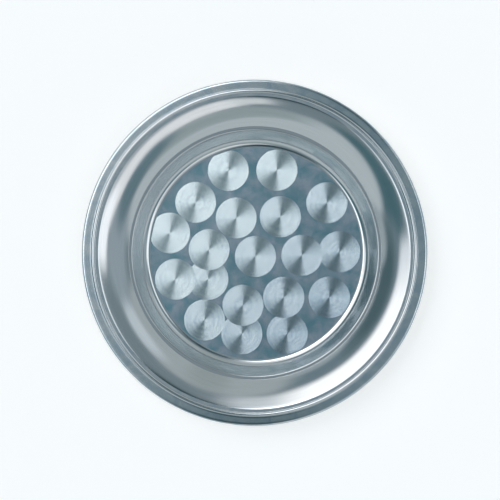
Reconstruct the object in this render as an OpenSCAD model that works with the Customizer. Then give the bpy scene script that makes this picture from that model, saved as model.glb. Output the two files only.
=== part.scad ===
// Round pressed steel tray: a flat floor in a shallow well, a wide flared wall, a raised bead and
// a flat border whose edge is rolled over a ring of wire.
// Millimetres. The origin is the centre of the underside, where the tray stands, and +Z is up.

/* [Tray] */
// Diameter over the rolled edge
tray_d = 300; // [290:1:330]
// Thickness of the sheet
sheet_t = 0.7; // [0.5:0.1:0.9]

/* [Floor and well] */
// Diameter of the flat floor
floor_d = 187; // [160:1:190]
// Bend radius where the floor turns up
corner_r = 8.5; // [7:0.5:10]
// Slope at the top of that bend, in degrees
corner_slope = 42; // [38:1:46]
// Bend radius at the foot of the well's wall
wall_foot_r = 16; // [12:1:20]
// Slope of the wall, in degrees
wall_slope = 52; // [48:1:56]
// Length of the wall's straight stretch
wall_length = 10.5; // [7:0.1:11]

/* [Ledge] */
// Bend radius at both edges of the ledge between the well and the flare
ledge_bend_r = 0.8; // [0.6:0.1:1.2]
// Slope of the ledge, in degrees
ledge_slope = 2; // [0:1:8]
// Length of the ledge's straight stretch
ledge_length = 2.3; // [1.5:0.1:3]

/* [Flare] */
// Slope at the foot of the flare, in degrees
flare_foot_slope = 44; // [40:1:46]
// Slope at the top of the flare, in degrees
flare_top_slope = 17; // [14:1:20]

/* [Valley and bead] */
// Bend radius at the top of the flare
valley_bend_r = 1; // [0.8:0.1:3]
// Slope of the narrow valley between the flare and the bead, in degrees
valley_slope = 2; // [0:1:4]
// Length of the valley's straight stretch
valley_length = 2.3; // [1:0.1:3]
// Bend radius at the inner foot of the bead
bead_in_foot_r = 1; // [0.8:0.1:2]
// Slope of the bead's inner side, in degrees
bead_in_slope = 35; // [30:1:45]
// Bend radius over the crest of the bead
bead_r = 2; // [1.5:0.1:3]
// Slope of the bead's outer side, in degrees
bead_out_slope = 30; // [25:1:40]
// Bend radius at the outer foot of the bead
bead_out_foot_r = 0.8; // [0.6:0.1:2]
// Length of the straight stretch on each side of the bead
bead_side = 0.5; // [0.2:0.1:1]

/* [Border and rolled edge] */
// Width of the flat border between the bead and the rolled edge
border_w = 6.2; // [3:0.1:8]
// Diameter of the wire in the rolled edge
wire_d = 3; // [2.5:0.1:3.5]
// Clearance between the wire and the sheet rolled round it
wire_clearance = 0.05; // [0.02:0.01:0.1]
// How far the sheet wraps round the wire, in degrees
curl_wrap = 300; // [270:5:310]
// Gap between the butted ends of the wire
wire_gap = 0.8; // [0.2:0.1:2]

/* [Hidden] */
$fn = 180;

// Greatest turn between two points on a bend, in degrees
bend_step = 6;

// Bend radius of the sheet's middle line round the wire
curl_r = wire_d / 2 + wire_clearance + sheet_t / 2;

// The sheet's middle line from the centre out, one run after another: a straight run is [length],
// and a bend is [radius, slope at its end]. These are the runs inside the flare and outside it.
well_runs = [
    [floor_d / 2],
    [corner_r, corner_slope],
    [wall_foot_r, wall_slope],
    [wall_length],
    [ledge_bend_r, ledge_slope],
    [ledge_length],
    [ledge_bend_r, flare_foot_slope]
];
rim_runs = [
    [valley_bend_r, valley_slope],
    [valley_length],
    [bead_in_foot_r, bead_in_slope],
    [bead_side],
    [bead_r, -bead_out_slope],
    [bead_side],
    [bead_out_foot_r, 0],
    [border_w]
];

// Width on plan of the runs from number i on, when the first of them starts at a slope
function width(list, slope, i = 0) =
    i == len(list) ? 0
    : len(list[i]) == 1 ? list[i][0] * cos(slope) + width(list, slope, i + 1)
    : list[i][0] * abs(sin(list[i][1]) - sin(slope)) + width(list, list[i][1], i + 1);

// The flare is one bend that takes up the width that the rest leaves
flare_w = tray_d / 2 - curl_r - sheet_t / 2 - width(well_runs, 0) - width(rim_runs, flare_top_slope);
flare_r = flare_w / (sin(flare_foot_slope) - sin(flare_top_slope));

runs = concat(well_runs, [[flare_r, flare_top_slope]], rim_runs, [[curl_r, -curl_wrap]]);

// A point on the middle line is [distance from the axis, height, slope].
function straight(p, length) = [[p[0] + length * cos(p[2]), p[1] + length * sin(p[2]), p[2]]];

function bend(p, r, slope) =
    let (turn = slope - p[2], way = sign(turn), n = ceil(abs(turn) / bend_step))
    [for (i = [1:n])
        let (s = p[2] + turn * i / n)
        [p[0] + way * r * (sin(s) - sin(p[2])), p[1] + way * r * (cos(p[2]) - cos(s)), s]];

function run_points(p, run) = len(run) == 1 ? straight(p, run[0]) : bend(p, run[0], run[1]);

function last(list) = list[len(list) - 1];

// The points that the runs from number i to number end - 1 add after point p
function walk(p, i, end) =
    i == end ? [] : let (next = run_points(p, runs[i])) concat(next, walk(last(next), i + 1, end));

axis_point = [0, sheet_t / 2, 0];
middle = concat([axis_point], walk(axis_point, 0, len(runs)));
border_end = last(walk(axis_point, 0, len(runs) - 1));

// The face of the sheet at a distance from its middle line, positive on the upper face
function face(distance) = [for (p = middle) [p[0] - distance * sin(p[2]), p[1] + distance * cos(p[2])]];

function reversed(list) = [for (i = [len(list) - 1:-1:0]) list[i]];

// Pressed from one disc of sheet, with its edge rolled under and round the wire
module dish() {
    color("lightsteelblue")
        rotate_extrude()
            polygon(concat(face(sheet_t / 2), reversed(face(-sheet_t / 2))));
}

// Ring of round wire that stiffens the edge, cut from straight wire and butted
module rim_wire() {
    gap_turn = wire_gap / border_end[0] * 180 / PI;
    color("slategray")
        rotate([0, 0, gap_turn / 2])
            rotate_extrude(angle = 360 - gap_turn)
                translate([border_end[0], border_end[1] - curl_r])
                    circle(d = wire_d, $fn = 32);
}

dish();
rim_wire();
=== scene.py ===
# Round pressed steel tray with an engine-turned floor: the looks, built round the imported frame.
import math

import bmesh
import bpy
from mathutils import Matrix, Vector
from mathutils.geometry import delaunay_2d_cdt


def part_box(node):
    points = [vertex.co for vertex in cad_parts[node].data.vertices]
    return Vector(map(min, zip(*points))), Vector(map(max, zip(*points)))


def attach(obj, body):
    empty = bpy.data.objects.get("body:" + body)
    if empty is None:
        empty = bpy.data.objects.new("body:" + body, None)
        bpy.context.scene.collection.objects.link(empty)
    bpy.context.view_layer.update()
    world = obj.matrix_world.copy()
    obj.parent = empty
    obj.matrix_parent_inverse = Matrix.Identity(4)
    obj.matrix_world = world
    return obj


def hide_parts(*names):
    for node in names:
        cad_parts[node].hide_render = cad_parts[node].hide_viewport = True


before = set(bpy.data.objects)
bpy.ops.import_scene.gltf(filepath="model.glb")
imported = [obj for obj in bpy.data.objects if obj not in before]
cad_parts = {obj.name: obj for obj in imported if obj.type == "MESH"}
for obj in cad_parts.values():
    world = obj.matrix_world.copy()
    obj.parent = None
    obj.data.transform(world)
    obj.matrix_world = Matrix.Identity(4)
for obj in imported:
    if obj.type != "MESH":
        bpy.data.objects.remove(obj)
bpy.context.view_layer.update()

MM = 0.001


# ---------------------------------------------------------------- sizes, in millimetres and degrees

dish_low, dish_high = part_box("dish")
TRAY_R = min(dish_high.x, dish_high.y, -dish_low.x, -dish_low.y) / MM
TRAY_H = dish_high.z / MM

SHEET_T = 0.7
FLOOR_R = 93.5
WIRE_BEND_R = 1.9
# The sheet from the edge of the floor outwards, one run after another: a straight run is its
# length, and a bend is its radius and the slope at its end. The flare takes the width that the
# rest leaves.
FLARE = "flare"
RUNS = [
    (8.5, 42), (16, 52), (10.5,),                   # corner and wall of the well
    (0.8, 2), (2.3,), (0.8, 44),                    # ledge round the well
    (FLARE, 17),
    (1, 2), (2.3,),                                 # valley between the flare and the bead
    (1, 35), (0.5,), (2, -30), (0.5,), (0.8, 0),    # bead
    (6.2,), (WIRE_BEND_R, -300),                    # border, and the edge rolled round the wire
]

# Which of the dish's materials a face has
POLISHED, PLAIN_FLOOR, TURNED_FLOOR, UNDERSIDE, SATIN_RIM = range(5)
# The satin rim: what is flat outside RIM_FROM, and the roll, which starts where the border ends
RIM_FROM, EDGE_FROM = 130, 147.8
FLAT_SLOPE, ROLL_SLOPE = 3, -40

SHARP_ANGLE = 40     # least turn between two faces that shows as a hard edge
TURNS = 300          # segments round the axis
SPOT_TURNS = 90      # segments round a spot
TURN_STEP = 10       # greatest turn between two points of the profile
BEND_STEP = 1        # greatest distance between two points on a bend
STRAIGHT_STEP = 2    # and on a straight run
UNDERSIDE_RINGS = (69, 46, 23)
SAME_POINT = 1e-5    # points of the floor nearer to each other than this are one

SPOT_R = 18.1
SPOT_REACH = 93.3    # the turning tool stops this far from the axis
# Centres of the engine-turned spots, in the order in which they were struck
SPOTS = [
    (-24, 73), (19, 73), (-53, 45), (22, 32), (63, 44), (-17, 31), (-76, 18), (0, -3),
    (-42, -23), (-12, -71), (28, -71), (-41, 3), (-71, -23), (-45, -59), (-11, -46),
    (25, -39), (74, 1), (41, -2), (65, -39),
]


# ---------------------------------------------------------------- the sheet's profile

def sin(degrees):
    return math.sin(math.radians(degrees))


def cos(degrees):
    return math.cos(math.radians(degrees))


def run_width(run, slope):
    """Width on plan of a run that starts at a slope."""
    if len(run) == 1:
        return run[0] * cos(slope)
    return run[0] * abs(sin(run[1]) - sin(slope))


def fitted_runs():
    """The runs with the flare's radius worked out from the tray's."""
    slopes = [0]
    for run in RUNS:
        slopes.append(slopes[-1] if len(run) == 1 else run[1])
    border_end = TRAY_R - WIRE_BEND_R - SHEET_T / 2
    others = sum(run_width(run, slope) for run, slope in zip(RUNS[:-1], slopes) if run[0] != FLARE)
    flare = [run[0] for run in RUNS].index(FLARE)
    radius = (border_end - FLOOR_R - others) / abs(sin(slopes[flare + 1]) - sin(slopes[flare]))
    return RUNS[:flare] + [(radius, RUNS[flare][1])] + RUNS[flare + 1:]


def middle_line():
    """Points (radius, height, slope) of the sheet's middle from the edge of the floor outwards."""
    points = [(FLOOR_R, SHEET_T / 2, 0)]
    for run in fitted_runs():
        r, z, start = points[-1]
        if len(run) == 1:
            steps = math.ceil(run[0] / STRAIGHT_STEP)
            for i in range(1, steps + 1):
                length = run[0] * i / steps
                points.append((r + length * cos(start), z + length * sin(start), start))
        else:
            radius, end = run
            turn = end - start
            way = math.copysign(radius, turn)
            steps = math.ceil(max(abs(turn) / TURN_STEP,
                                  radius * math.radians(abs(turn)) / BEND_STEP))
            for i in range(1, steps + 1):
                s = start + turn * i / steps
                points.append((r + way * (sin(s) - sin(start)), z + way * (cos(start) - cos(s)), s))
    return points


def face_line(points, distance):
    """The face of the sheet at a distance from its middle, positive on the upper face."""
    return [(r - distance * sin(s), z + distance * cos(s)) for r, z, s in points]


# ---------------------------------------------------------------- the dish

def ring(bm, radius, height):
    return [bm.verts.new((radius * cos(360 * i / TURNS) * MM, radius * sin(360 * i / TURNS) * MM,
                          height * MM)) for i in range(TURNS)]


def join_rings(bm, inner, outer, material):
    for i in range(TURNS):
        j = (i + 1) % TURNS
        face = bm.faces.new((inner[i], outer[i], outer[j], inner[j]))
        face.material_index = material


def spot_outline(centre):
    """A circle whose points are drawn in to SPOT_REACH where it would pass it."""
    points = []
    for i in range(SPOT_TURNS):
        turn = 360 * i / SPOT_TURNS
        p = centre + SPOT_R * Vector((cos(turn), sin(turn)))
        points.append(p * min(1, SPOT_REACH / p.length))
    return points


def top_spot(point):
    """Number of the last spot struck over a point of the floor, or None."""
    for n in reversed(range(len(SPOTS))):
        if (Vector(SPOTS[n]) - point).length < SPOT_R and point.length < SPOT_REACH:
            return n
    return None


def turned_floor(bm, edge, height, spot_layer):
    """Fills the ring edge with a flat floor cut along the spots' outlines."""
    points = [Vector((v.co.x / MM, v.co.y / MM)) for v in edge]
    edges = [(i, (i + 1) % TURNS) for i in range(TURNS)]
    for centre in SPOTS:
        start = len(points)
        points += spot_outline(Vector(centre))
        edges += [(start + i, start + (i + 1) % SPOT_TURNS) for i in range(SPOT_TURNS)]
    flat, _, faces, origin, _, _ = delaunay_2d_cdt(points, edges, [], 0, SAME_POINT)
    verts = []
    for p, sources in zip(flat, origin):
        rim = next((i for i in sources if i < TURNS), None)
        place = (p.x * MM, p.y * MM, height * MM)
        verts.append(bm.verts.new(place) if rim is None else edge[rim])
    for corners in faces:
        middle = sum((flat[i] for i in corners), Vector((0, 0))) / len(corners)
        face = bm.faces.new([verts[i] for i in corners])
        n = top_spot(middle)
        face.material_index = PLAIN_FLOOR if n is None else TURNED_FLOOR
        x, y = SPOTS[n] if n is not None else (0, 0)
        face[spot_layer] = Vector((x * MM, y * MM, 0))


def make_dish(materials):
    """One closed skin of sheet, with the materials in the order of POLISHED and so on."""
    points = middle_line()
    upper = face_line(points, SHEET_T / 2)
    lower = face_line(points, -SHEET_T / 2)
    bm = bmesh.new()
    spot_layer = bm.faces.layers.float_vector.new("spot")
    upper_rings = [ring(bm, r, z) for r, z in upper]
    lower_rings = [ring(bm, r, z) for r, z in lower]
    for a, b, (r, _, slope) in zip(upper_rings, upper_rings[1:], points[1:]):
        satin = r > RIM_FROM and (abs(slope) < FLAT_SLOPE or slope < ROLL_SLOPE or r > EDGE_FROM)
        join_rings(bm, a, b, SATIN_RIM if satin else POLISHED)
    join_rings(bm, upper_rings[-1], lower_rings[-1], UNDERSIDE)
    for a, b in zip(reversed(lower_rings[1:]), reversed(lower_rings[:-1])):
        join_rings(bm, a, b, UNDERSIDE)
    turned_floor(bm, upper_rings[0], upper[0][1], spot_layer)
    inner = lower_rings[0]
    for radius in UNDERSIDE_RINGS:
        nearer = ring(bm, radius, 0)
        join_rings(bm, inner, nearer, UNDERSIDE)
        inner = nearer
    hub = bm.verts.new((0, 0, 0))
    for i in range(TURNS):
        bm.faces.new((inner[(i + 1) % TURNS], inner[i], hub)).material_index = UNDERSIDE
    bm.normal_update()
    mesh = bpy.data.meshes.new("tray_sheet")
    bm.to_mesh(mesh)
    bm.free()
    mesh.shade_smooth()
    mesh.set_sharp_from_angle(angle=math.radians(SHARP_ANGLE))
    for material in materials:
        mesh.materials.append(material)
    piece = bpy.data.objects.new("tray_sheet", mesh)
    bpy.context.scene.collection.objects.link(piece)
    return piece


# ---------------------------------------------------------------- materials

# A noise that draws lines round a centre is read along a circle this small on the way round, so
# that it hardly changes along a line: for lines round the axis, and for a spot's rings. Metres.
LINE_CIRCLE, RING_CIRCLE = 0.004, 0.0004
# Where the spots' painted light starts and is full, by how far left plus how far back a spot is, in
# metres: painted shade towards the front right, painted light towards the back left
PAINTED_SHADE_AT, PAINTED_LIGHT_AT = -0.1, 0.06


class Tree:
    """A node tree with short ways to add and join nodes."""

    def __init__(self, tree):
        self.nodes, self.links = tree.nodes, tree.links

    def add(self, kind, inputs=None, **settings):
        node = self.nodes.new("ShaderNode" + kind)
        for key, value in settings.items():
            setattr(node, key, value)
        for key, value in (inputs or {}).items():
            if isinstance(value, bpy.types.NodeSocket):
                self.links.new(value, node.inputs[key])
            else:
                node.inputs[key].default_value = value
        return node

    def math(self, operation, a, b=0.0):
        return self.add("Math", {0: a, 1: b}, operation=operation).outputs[0]

    def vector(self, operation, a, b=None):
        node = self.add("VectorMath", {0: a} if b is None else {0: a, 1: b}, operation=operation)
        return node.outputs["Value" if operation in ("LENGTH", "DOT_PRODUCT") else "Vector"]

    def ramp(self, value, low, high, a, b):
        node = self.add("MapRange", {"Value": value, "From Min": low, "From Max": high,
                                     "To Min": a, "To Max": b}, clamp=True)
        return node.outputs["Result"]

    def mix(self, factor, a, b):
        node = self.add("Mix", data_type="RGBA")
        for key, value in (("Factor", factor), ("A", a), ("B", b)):
            socket = next(s for s in node.inputs if s.name == key and
                          s.type == ("VALUE" if key == "Factor" else "RGBA"))
            if isinstance(value, bpy.types.NodeSocket):
                self.links.new(value, socket)
            else:
                socket.default_value = value
        return next(s for s in node.outputs if s.type == "RGBA")

    def noise(self, vector, scale, detail=2.0, distortion=0.0):
        return self.add("TexNoise", {"Vector": vector, "Scale": scale, "Detail": detail,
                                     "Distortion": distortion}).outputs["Fac"]

    def bump(self, height, strength, distance):
        return self.add("Bump", {"Height": height, "Strength": strength,
                                 "Distance": distance}).outputs["Normal"]

    def set(self, **inputs):
        for key, value in inputs.items():
            socket = self.nodes["Principled BSDF"].inputs[key.replace("_", " ")]
            if isinstance(value, bpy.types.NodeSocket):
                self.links.new(value, socket)
            else:
                socket.default_value = value


def material_tree(name):
    material = bpy.data.materials.new(name)
    material.use_nodes = True
    tree = Tree(material.node_tree)
    tree.material = material
    return tree


def spun(t):
    """The place, its direction from the axis, and a place where a noise runs in lines round it."""
    place = t.add("TexCoord").outputs["Object"]
    flat = t.vector("MULTIPLY", place, (1, 1, 0))
    out = t.add("SeparateXYZ", {0: t.vector("NORMALIZE", flat)}).outputs
    height = t.add("SeparateXYZ", {0: place}).outputs[2]
    across = t.math("ADD", t.vector("LENGTH", flat), height)
    return place, t.vector("NORMALIZE", flat), t.add("CombineXYZ", {
        0: t.math("MULTIPLY", out[0], LINE_CIRCLE), 1: t.math("MULTIPLY", out[1], LINE_CIRCLE),
        2: across}).outputs[0]


def polished_steel():
    t = material_tree("polished_steel")
    place, _, line = spun(t)
    wear, lines = t.noise(place, 45, 3), t.noise(line, 900, 2)
    t.set(Metallic=1.0, Base_Color=t.mix(t.ramp(lines, 0.3, 0.7, 0, 1), (0.72, 0.735, 0.74, 1),
                                         (0.755, 0.77, 0.775, 1)),
          Roughness=t.ramp(wear, 0.3, 0.7, 0.11, 0.15),
          Normal=t.bump(lines, 0.15, 0.000004))
    return t.material


def plain_floor_steel():
    t = material_tree("satin_floor_steel")
    place = t.add("TexCoord").outputs["Object"]
    wear, patch = t.noise(place, 70, 3), t.noise(place, 75, 4, 0.3)
    t.set(Metallic=1.0, Base_Color=t.mix(t.ramp(patch, 0.35, 0.65, 0, 1), (0.32, 0.54, 0.62, 1),
                                         (0.64, 0.70, 0.77, 1)),
          Roughness=t.ramp(wear, 0.3, 0.7, 0.15, 0.2))
    return t.material


def turned_floor_steel():
    """Spots of fine rings, each round the centre kept in the faces' attribute.

    Their colour is painted lighter towards the back left of the floor and darker towards the front
    right: painted light and shade for how the lights fall across the floor.
    """
    t = material_tree("turned_floor_steel")
    place = t.add("TexCoord").outputs["Object"]
    centre = t.add("Attribute", attribute_name="spot").outputs["Vector"]
    flat = t.vector("MULTIPLY", t.vector("SUBTRACT", place, centre), (1, 1, 0))
    radial = t.vector("NORMALIZE", flat)
    across = t.add("CombineXYZ", {2: t.vector("LENGTH", flat)}).outputs[0]
    ring_place = t.vector("MULTIPLY", radial, (RING_CIRCLE, RING_CIRCLE, 0))
    ring_place = t.vector("ADD", t.vector("ADD", ring_place, centre), across)
    rings, fine = t.noise(ring_place, 420, 2), t.noise(ring_place, 1700, 1)
    blotches = t.noise(place, 600, 2)
    # painted light: the spots' colour is lifted towards the back left, under the main light, and
    # painted darker towards the front right
    painted_light = t.ramp(t.vector("DOT_PRODUCT", centre, (-1, 1, 0)), PAINTED_SHADE_AT, PAINTED_LIGHT_AT, 0, 0.62)
    shade = t.math("ADD", t.ramp(rings, 0.3, 0.7, 0, 0.35), t.ramp(blotches, 0.35, 0.65, 0, 0.25))
    t.set(Metallic=1.0, Base_Color=t.mix(t.math("ADD", shade, painted_light), (0.54, 0.65, 0.75, 1),
                                         (0.93, 1.0, 1.0, 1)),
          Roughness=0.24, Anisotropic=1.0, Tangent=radial, Normal=t.bump(fine, 0.3, 0.000004))
    return t.material


def satin_rim_steel():
    t = material_tree("satin_rim_steel")
    place, radial, line = spun(t)
    lines, patch = t.noise(line, 900, 2), t.noise(place, 55, 4, 1.2)
    t.set(Metallic=1.0, Base_Color=t.mix(t.ramp(patch, 0.35, 0.65, 0, 1), (0.68, 0.76, 0.81, 1),
                                         (0.86, 0.87, 0.87, 1)),
          Roughness=0.13, Anisotropic=0.3, Tangent=radial, Normal=t.bump(lines, 0.3, 0.000005))
    return t.material


def underside_steel():
    t = material_tree("underside_steel")
    place, _, line = spun(t)
    lines, wear = t.noise(line, 500, 2), t.noise(place, 40, 3)
    t.set(Metallic=1.0, Base_Color=t.mix(t.ramp(lines, 0.3, 0.7, 0, 1), (0.66, 0.68, 0.69, 1),
                                         (0.72, 0.735, 0.74, 1)),
          Roughness=t.ramp(wear, 0.3, 0.7, 0.22, 0.3), Normal=t.bump(lines, 0.15, 0.000006))
    return t.material


def wire_steel():
    """Drawn wire, scored along its length, which runs round the axis."""
    t = material_tree("wire_steel")
    place, _, line = spun(t)
    lines, wear = t.noise(line, 2500, 2), t.noise(place, 120, 3)
    t.set(Metallic=1.0, Base_Color=t.mix(t.ramp(lines, 0.3, 0.7, 0, 1), (0.50, 0.51, 0.52, 1),
                                         (0.64, 0.65, 0.66, 1)),
          Roughness=t.ramp(wear, 0.3, 0.7, 0.26, 0.38), Normal=t.bump(lines, 0.4, 0.000008))
    return t.material


# ---------------------------------------------------------------- studio

# What stands round the tray, the furthest first: azimuth from and to, elevation from and to, how
# much it climbs per degree of azimuth, how square it is (2 is an ellipse), how soft its edge is,
# and its colour. Azimuth is counted from +X to +Y.
SURROUNDINGS = [
    # dark gap beside the main light
    (180, 232, 22, 56, 0, 2.6, 0.4, (0.07, 0.15, 0.18)),
    # grey board at the back right, its lit corner, and the shade across it
    (15, 119, -34, 44, 0, 1.9, 0.15, (0.41, 0.47, 0.49)),
    (22, 54, 24, 42, 0, 2.5, 0.6, (0.60, 0.68, 0.73)),
    (66, 84, -10, 42, 0, 3, 0.7, (0.34, 0.40, 0.41)),
    # grey board at the front left, the low board in front, and the gap over it
    (191, 275, -34, 43, 0, 1.9, 0.15, (0.51, 0.58, 0.61)),
    (222, 356, -30, 29, 0, 3.5, 0.12, (0.50, 0.57, 0.60)),
    (240, 342, 26, 46, 0, 3, 0.3, (0.33, 0.40, 0.42)),
    # dark gap under the main light, and its depth
    (110, 190, 6, 42, 0, 3.5, 0.3, (0.17, 0.24, 0.28)),
    (138, 188, 4, 30, 0, 2.5, 0.7, (0.08, 0.14, 0.16)),
    # board edges that show under the dark gap
    (108, 140, -30, 12, 0, 3, 0.3, (0.36, 0.43, 0.46)),
    (172, 200, -30, 14, 0, 3, 0.3, (0.36, 0.43, 0.46)),
    # haze over the main light
    (98, 218, 56, 80, 0, 3, 0.3, (0.32, 0.38, 0.42)),
    (108, 212, 80, 92, 0, 3, 0.3, (0.24, 0.29, 0.32)),
    # main light at the back left: its spill, its high part, and the part that hangs lower
    (87, 126, 38, 62, 0, 2.6, 0.6, (0.66, 0.72, 0.76)),
    (110, 206, 58, 72, 0, 2.6, 0.8, (2.0, 2.15, 2.3)),
    (100, 178, 57, 72, 0, 3, 0.35, (3.2, 3.45, 3.7)),
    (150, 182, 38, 66, 0, 4, 0.4, (0.9, 0.97, 1.03)),
    (109, 168, 35, 66, 0.07, 4, 0.45, (1.36, 1.38, 1.4)),
    # second light at the front right, its spill, and the haze over it
    (266, 350, 47, 63, 0, 7, 0.15, (0.90, 0.93, 0.96)),
    (254, 270, 50, 60, 0, 4, 0.5, (0.75, 0.80, 0.83)),
    (268, 336, 64, 80, 0, 3, 0.4, (0.42, 0.48, 0.53)),
    # high light on the right, and the bright end of the second light below it
    (-24, 54, 66, 77, 0, 2.6, 0.8, (1.4, 1.53, 1.62)),
    (334, 370, 52, 66, 0, 4, 0.3, (1.2, 1.25, 1.3)),
    # grey wall on the right, and the dark gap under the second light
    (338, 384, 18, 50, 0, 2.6, 0.5, (0.33, 0.40, 0.45)),
    (300, 350, 28, 48, -0.2, 2.6, 0.45, (0.14, 0.22, 0.26)),
    # dark gaps high up between the lights
    (56, 92, 60, 82, 0, 4, 0.35, (0.02, 0.05, 0.06)),
    (222, 262, 61, 84, 0, 4, 0.35, (0.02, 0.05, 0.06)),
]
# The rest of the studio, up to the elevation HAZE_TOP, and the ceiling, from OVERHEAD_FROM
HAZE, HAZE_TOP = (0.20, 0.26, 0.29), 62
OVERHEAD, OVERHEAD_FROM = (0.17, 0.235, 0.27), 76
BACKDROP = (0.9, 0.91, 0.92)


def make_ground():
    size = 6.0
    mesh = bpy.data.meshes.new("ground")
    mesh.from_pydata([(-size, -size, 0), (size, -size, 0), (size, size, 0), (-size, size, 0)], [],
                     [(0, 1, 2, 3)])
    ground = bpy.data.objects.new("ground", mesh)
    bpy.context.scene.collection.objects.link(ground)
    tree = material_tree("ground_paper")
    tree.set(Base_Color=(0.9, 0.88, 0.86, 1), Roughness=0.9, Emission_Color=(1, 1, 1, 1),
             Emission_Strength=0.45)
    mesh.materials.append(tree.material)


def make_surroundings():
    """A world of soft panels for the steel to mirror, which the camera sees as a plain backdrop."""
    world = bpy.data.worlds.new("studio")
    bpy.context.scene.world = world
    world.use_nodes = True
    t = Tree(world.node_tree)
    way = t.add("SeparateXYZ", {0: t.add("TexCoord").outputs["Generated"]}).outputs
    azimuth = t.math("DEGREES", t.math("ARCTAN2", way[1], way[0]))
    elevation = t.math("DEGREES", t.math("ARCSINE", way[2]))
    colour = t.mix(t.ramp(elevation, HAZE_TOP, OVERHEAD_FROM, 0, 1), (*HAZE, 1), (*OVERHEAD, 1))
    for az_from, az_to, el_from, el_to, climb, square, soft, panel in SURROUNDINGS:
        turn = t.math("SUBTRACT", azimuth, (az_from + az_to) / 2)
        turn = t.add("Math", {0: turn, 1: 180.0, 2: -180.0}, operation="WRAP").outputs[0]
        across = t.math("DIVIDE", t.math("ABSOLUTE", turn), (az_to - az_from) / 2)
        rise = t.math("SUBTRACT", elevation, (el_from + el_to) / 2)
        if climb:
            rise = t.math("SUBTRACT", rise, t.math("MULTIPLY", turn, climb))
        up = t.math("DIVIDE", t.math("ABSOLUTE", rise), (el_to - el_from) / 2)
        reach = t.math("ADD", t.math("POWER", across, square), t.math("POWER", up, square))
        inside = t.ramp(t.math("POWER", reach, 1 / square), 1 + soft / 2, 1 - soft / 2, 0, 1)
        colour = t.mix(inside, colour, (*panel, 1))
    seen = t.add("LightPath").outputs["Is Camera Ray"]
    background = t.nodes["Background"]
    t.links.new(t.mix(seen, colour, (*BACKDROP, 1)), background.inputs["Color"])
    bpy.context.scene.view_settings.view_transform = "Standard"


# ---------------------------------------------------------------- camera

CAMERA_AWAY = 1.25                  # from the middle of the rim
CAMERA_TILT, CAMERA_SIDE = 5, -19   # its lean from straight above, and towards which azimuth
RIM_SHARE = 174.1 / 250             # the rim's radius as a share of half the frame
RIM_SHIFT = Vector((-2.4, 1.9, 0))  # the middle of the frame, from the tray's axis


def direction(azimuth, elevation):
    """Unit vector, with azimuth counted from +X towards +Y."""
    return Vector((cos(azimuth) * cos(elevation), sin(azimuth) * cos(elevation), sin(elevation)))


def make_camera():
    lens = bpy.data.cameras.new("camera")
    camera = bpy.data.objects.new("camera", lens)
    bpy.context.scene.collection.objects.link(camera)
    bpy.context.scene.camera = camera
    back = direction(CAMERA_SIDE, 90 - CAMERA_TILT)
    right = Vector((0, 1, 0)).cross(back).normalized()
    up = back.cross(right)
    target = RIM_SHIFT * MM + Vector((0, 0, TRAY_H * MM))
    turn = Matrix((right, up, back)).transposed().to_4x4()
    camera.matrix_world = Matrix.Translation(target + back * CAMERA_AWAY) @ turn
    half_frame = TRAY_R * MM / RIM_SHARE
    lens.sensor_width = 36
    lens.lens = lens.sensor_width / 2 * CAMERA_AWAY / half_frame
    lens.clip_end = 50


# ---------------------------------------------------------------- assembly

sheet = make_dish([polished_steel(), plain_floor_steel(), turned_floor_steel(), underside_steel(),
                   satin_rim_steel()])
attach(sheet, "root")
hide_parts("dish")

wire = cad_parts["rim_wire"]
wire.data.materials.clear()
wire.data.materials.append(wire_steel())

make_ground()
make_surroundings()
make_camera()
